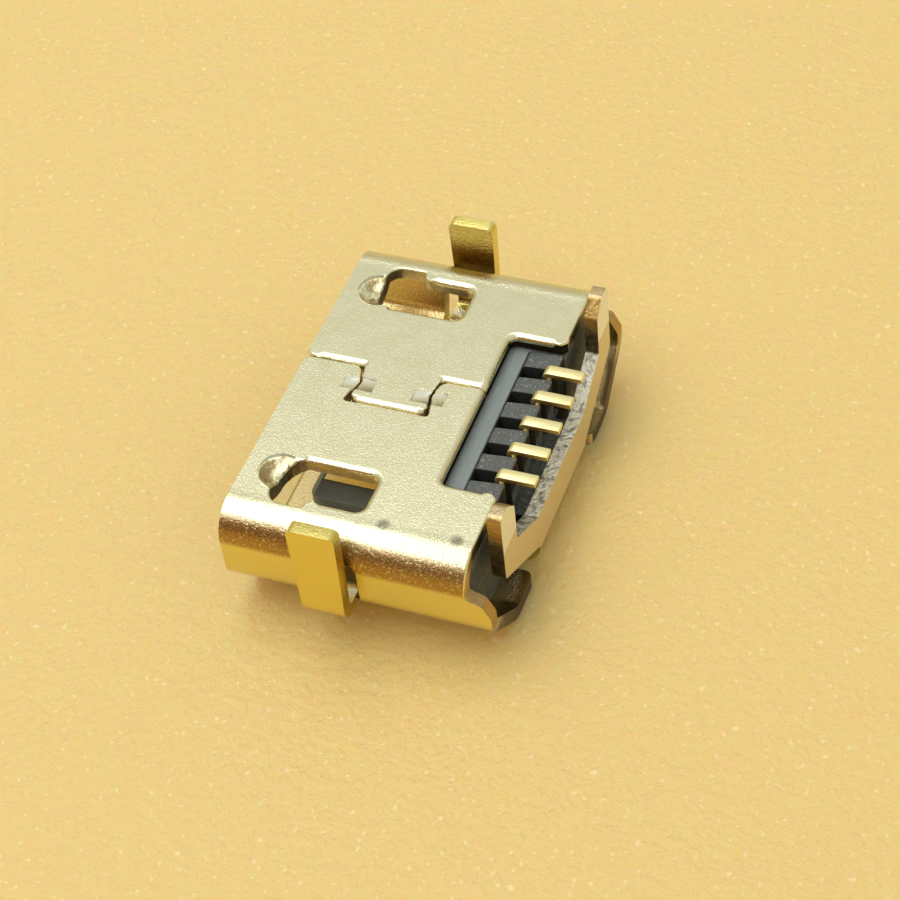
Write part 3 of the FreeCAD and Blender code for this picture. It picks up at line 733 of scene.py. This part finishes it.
def is_sheared(face, settings):
    """True for a face across the thickness of the sheet, left by the punch or the cutter."""
    slack = 0.01 * MM
    at = face.calc_center_median()
    across, along, up = (abs(part) for part in face.normal)
    from_back = SHELL_HIGH.y - at.y
    in_back_plate = slack < from_back < settings.sheet - slack
    in_wide_face = at.z > settings.wide_face - settings.sheet + slack
    in_narrow_face = at.z < settings.sheet - slack
    in_flat_part = abs(at.x) < settings.half_width - settings.bend
    on_slope = abs(at.x) < settings.seam_reach and EDGE_ON < face.normal.z < LEANING
    if abs(at.x) > settings.half_width + slack:
        return False
    if along > FACING:
        return abs(from_back) > slack and abs(from_back - settings.sheet) > slack
    if at.y > settings.plate_end + slack and not in_flat_part:
        return across < EDGE_ON < along
    if in_back_plate:
        return along < EDGE_ON
    if on_slope and in_wide_face:
        return True
    return in_flat_part and up < EDGE_ON and (in_wide_face or in_narrow_face)


def is_notch_wall(face, settings):
    """True for the upright walls of the rear notch in the board face."""
    at = face.calc_center_median()
    in_sheet = settings.wide_face - settings.sheet < at.z < settings.wide_face
    in_notch = settings.seam_end < at.y < settings.plate_end - 0.01 * MM
    upright = abs(face.normal.z) < EDGE_ON
    return in_sheet and in_notch and abs(at.x) < settings.notch_half and upright


def sheet_finish(face, settings):
    """The number of the material on a face of the shell."""
    if is_notch_wall(face, settings):
        return OXIDE_AND_SHADE
    return SHEARED if is_sheared(face, settings) else PLATED


def punched_edges(mesh, settings):
    """Outer edges that the punch left in the board face, each with its lower face's normal."""
    slack = 0.002 * MM
    lowest = settings.wide_face - settings.lip_draw - slack
    flat = settings.half_width - settings.bend + slack
    found = []
    for edge in sharp_edges(mesh, SQUARE):
        at = middle(edge)
        low, high = sorted((face.normal for face in edge.link_faces), key=lambda normal: normal.z)
        level = lowest < at.z < settings.wide_face + slack
        inside = CAD_LOW.y + slack < at.y < settings.plate_end + slack and abs(at.x) < flat
        if level and inside and abs(low.z) < EDGE_ON and high.z > HALFWAY:
            found.append((edge, low))
    return found


def split_long_edges(mesh, settings):
    """Splits the long punched edges, so that a roll can start or end partway along them."""
    least = 0.5 * MM
    long_edges = [
        edge for edge, low in punched_edges(mesh, settings) if edge.calc_length() > least]
    bmesh.ops.bisect_edges(mesh, edges=long_edges, cuts=5)


def is_crisp(edge, low, settings):
    """True on the parts of the seam that the punch left sharper."""
    at = middle(edge)
    return abs(at.x) < settings.seam_reach and at.y < settings.seam_end and low.x < HALFWAY


def is_tight(edge, settings):
    """True where there is little room for a roll: by the lips, the bends, the mouth and the rear."""
    at = middle(edge)
    lip_middle = (settings.lip_across, settings.lip_along)
    by_lip = math.dist((abs(at.x), at.y), lip_middle) < settings.lip_reach + settings.tight_roll
    by_catch = abs(at.x) > settings.lip_across and at.y < settings.step_end
    by_mouth = at.y < CAD_LOW.y + 2 * settings.edge_roll
    by_rear = at.y > settings.plate_end - 2 * settings.edge_roll
    return by_lip or by_catch or by_mouth or by_rear


def rolled_edges(mesh, settings):
    """The edges that the punch rolled as it entered the sheet."""
    return [
        edge for edge, low in punched_edges(mesh, settings)
        if not is_crisp(edge, low, settings) and not is_tight(edge, settings)]


def tight_edges(mesh, settings):
    """The rolled edges with little room, and the outer edges of the straight rear end."""
    slack = 0.002 * MM
    found = [
        edge for edge, low in punched_edges(mesh, settings)
        if not is_crisp(edge, low, settings) and is_tight(edge, settings)]
    flat = settings.half_width - settings.bend
    for edge in sharp_edges(mesh, SQUARE):
        at = middle(edge)
        rear = max(face.normal.y for face in edge.link_faces) > FACING
        outward = max(face.normal.x * at.x for face in edge.link_faces) > 0
        on_end = abs(at.y - settings.plate_end) < slack and at.z > settings.cradle_top
        if rear and outward and on_end and abs(at.x) > flat:
            found.append(edge)
    return found


def crisp_edges(mesh, settings):
    """The sharper edges of the seam."""
    end = settings.seam_end - 2 * settings.edge_roll
    return [
        edge for edge, low in punched_edges(mesh, settings)
        if is_crisp(edge, low, settings) and middle(edge).y < end]


def leg_edges(mesh, settings):
    """Long edges of the side legs on the side that faces the shell."""
    inner = SHELL_HIGH.x - settings.sheet
    slack = 0.02 * MM
    return [
        edge for edge in sharp_edges(mesh, SQUARE)
        if abs(abs(middle(edge).x) - inner) < slack and middle(edge).z > settings.wide_face / 2]


def ear_edges(mesh, settings):
    """Edges round the tips of the two ears."""
    least = settings.wide_face + 2 * settings.sheet - 0.01 * MM
    rear = SHELL_HIGH.y - 1.5 * settings.sheet
    return [
        edge for edge in sharp_edges(mesh, EAR)
        if middle(edge).z > least and middle(edge).y > rear
        and max(face.normal.z for face in edge.link_faces) > HALFWAY]


class SOCKET_OT_shell(bpy.types.Operator):
    """Make the plated sheet shell, with rolled edges round its openings"""
    bl_idname = "socket.shell"
    bl_label = "Sheet shell"

    def execute(self, context):
        settings = context.scene.socket_shell
        mesh = merged_copy("shell", reach=0.012 * MM)
        for face in mesh.faces:
            face.material_index = sheet_finish(face, settings)
        split_long_edges(mesh, settings)
        rounded(mesh, rolled_edges(mesh, settings), settings.edge_roll, segments=5, clamp=False)
        rounded(mesh, tight_edges(mesh, settings), settings.tight_roll, segments=3, clamp=False)
        rounded(mesh, crisp_edges(mesh, settings), settings.seam_roll, segments=2, clamp=False)
        rounded(mesh, leg_edges(mesh, settings), settings.leg_roll, segments=3)
        rounded(mesh, ear_edges(mesh, settings), settings.ear_roll, segments=3)
        rounded(mesh, sharp_edges(mesh, SHARP), settings.edge_break, segments=2)
        rank_flat_faces(mesh, SHEET_FLAT)
        materials = [
            plated_sheet("plated_sheet", settings), cut_sheet("cut_sheet", settings),
            dark_wall("dark_wall", settings)]
        piece = new_piece("shell_sheet", mesh, materials)
        add_even_shading(piece)
        stand_in(piece, "shell")
        return {"FINISHED"}


class SOCKET_OT_housing(bpy.types.Operator):
    """Make the moulded insulator with softened edges"""
    bl_idname = "socket.housing"
    bl_label = "Insulator"

    def execute(self, context):
        settings = context.scene.socket_housing
        mesh = merged_copy("housing")
        rounded(mesh, sharp_edges(mesh, SHARP), settings.edge_break, segments=2)
        rank_flat_faces(mesh, SHEET_FLAT)
        piece = new_piece("insulator", mesh, [moulded_plastic("moulded_plastic", settings)])
        add_even_shading(piece)
        stand_in(piece, "housing")
        return {"FINISHED"}


class SOCKET_OT_contacts(bpy.types.Operator):
    """Make the row of contacts with softened edges"""
    bl_idname = "socket.contacts"
    bl_label = "Contacts"

    def execute(self, context):
        settings = context.scene.socket_contacts
        material = gilt("gilt_strip", settings)
        for node in CONTACT_NODES:
            mesh = merged_copy(node)
            rounded(mesh, sharp_edges(mesh, SQUARE), settings.edge_break, segments=2)
            rank_flat_faces(mesh, STRIP_FLAT)
            piece = new_piece(node + "_strip", mesh, [material])
            add_even_shading(piece)
            stand_in(piece, node)
        return {"FINISHED"}


class SOCKET_OT_stage(bpy.types.Operator):
    """Make the floor, the soft room, the lamp and the camera"""
    bl_idname = "socket.stage"
    bl_label = "Stage"

    def execute(self, context):
        settings = context.scene.socket_stage
        make_floor(settings)
        make_world(context.scene, settings)
        make_lamp(settings)
        make_camera(context.scene, settings)
        context.scene.view_settings.view_transform = "Standard"
        return {"FINISHED"}


def make_floor(settings):
    """A plain square floor under the object."""
    mesh = bmesh.new()
    bmesh.ops.create_grid(mesh, x_segments=1, y_segments=1, size=settings.floor_width / 2)
    bmesh.ops.translate(mesh, verts=mesh.verts, vec=(0, 0, CAD_LOW.z))
    data = bpy.data.meshes.new("floor")
    mesh.to_mesh(data)
    mesh.free()
    data.materials.append(stage_surface("stage_surface", settings))
    floor = bpy.data.objects.new("floor", data)
    bpy.context.scene.collection.objects.link(floor)


def make_world(scene, settings):
    """A soft pale room with a warm dark patch low on one side, which the bends reflect."""
    world = bpy.data.worlds.new("soft_room")
    world.use_nodes = True
    scene.world = world
    finish = Finish(world.node_tree)
    across, along, up = finish.parts(finish.node("ShaderNodeTexCoord", {}).part("Generated"))
    shade = across.ramp(0.0, 0.45) * up.ramp(0.72, 0.58)
    shade = shade * along.ramp(-0.60, -0.50) * along.ramp(0.0, -0.12)
    colour = finish.layered(settings.sky_colour, [
        (up.ramp(0.65, 0.25), settings.horizon_colour), (shade, settings.shade_colour)])
    background = finish.node(
        "ShaderNodeBackground", {}, Color=colour, Strength=settings.room_strength)
    finish.node("ShaderNodeOutputWorld", {}, Surface=background)


def make_lamp(settings):
    """One large soft lamp overhead, facing straight down."""
    light = bpy.data.lights.new("soft_lamp", "AREA")
    light.shape = "RECTANGLE"
    light.size = settings.lamp_width
    light.size_y = settings.lamp_depth
    light.energy = settings.lamp_power
    lamp = bpy.data.objects.new("soft_lamp", light)
    bpy.context.scene.collection.objects.link(lamp)
    lamp.location = settings.lamp_place


def make_camera(scene, settings):
    """The camera at the photograph's place, aim and roll."""
    lens = bpy.data.cameras.new("camera")
    lens.sensor_width = SENSOR_WIDTH
    lens.lens = settings.camera_lens
    lens.clip_start = 1 * MM
    lens.clip_end = 10
    camera = bpy.data.objects.new("camera", lens)
    scene.collection.objects.link(camera)
    place = Vector(settings.camera_place)
    forward = (Vector(settings.camera_aim) - place).normalized()
    level = forward.to_track_quat("-Z", "Y").to_matrix().to_4x4()
    camera.matrix_world = (
        Matrix.Translation(place) @ level @ Matrix.Rotation(settings.camera_roll, 4, "Z"))
    scene.camera = camera


class SOCKET_PT_panel(bpy.types.Panel):
    """Lists the sizes, the colours and the buttons that make each piece"""
    bl_idname = "SOCKET_PT_panel"
    bl_label = "Socket"
    bl_space_type = "VIEW_3D"
    bl_region_type = "UI"
    bl_category = "Socket"

    def draw(self, context):
        for pointer, operator in PIECES:
            group = getattr(context.scene, pointer)
            box = self.layout.box()
            for name in group.bl_rna.properties.keys():
                if name not in ("rna_type", "name"):
                    box.prop(group, name)
            box.operator(operator)


PIECES = [
    ("socket_shell", "socket.shell"),
    ("socket_housing", "socket.housing"),
    ("socket_contacts", "socket.contacts"),
    ("socket_stage", "socket.stage"),
]
GROUPS = {
    "socket_shell": ShellSettings,
    "socket_housing": HousingSettings,
    "socket_contacts": ContactSettings,
    "socket_stage": StageSettings,
}
CLASSES = [
    ShellSettings, HousingSettings, ContactSettings, StageSettings,
    SOCKET_OT_shell, SOCKET_OT_housing, SOCKET_OT_contacts, SOCKET_OT_stage, SOCKET_PT_panel,
]


def register():
    for item in CLASSES:
        bpy.utils.register_class(item)
    for pointer, group in GROUPS.items():
        setattr(bpy.types.Scene, pointer, bpy.props.PointerProperty(type=group))


def unregister():
    for pointer in GROUPS:
        delattr(bpy.types.Scene, pointer)
    for item in reversed(CLASSES):
        bpy.utils.unregister_class(item)


def main():
    register()
    bpy.ops.socket.shell()
    bpy.ops.socket.housing()
    bpy.ops.socket.contacts()
    bpy.ops.socket.stage()


if __name__ == "__main__":
    main()
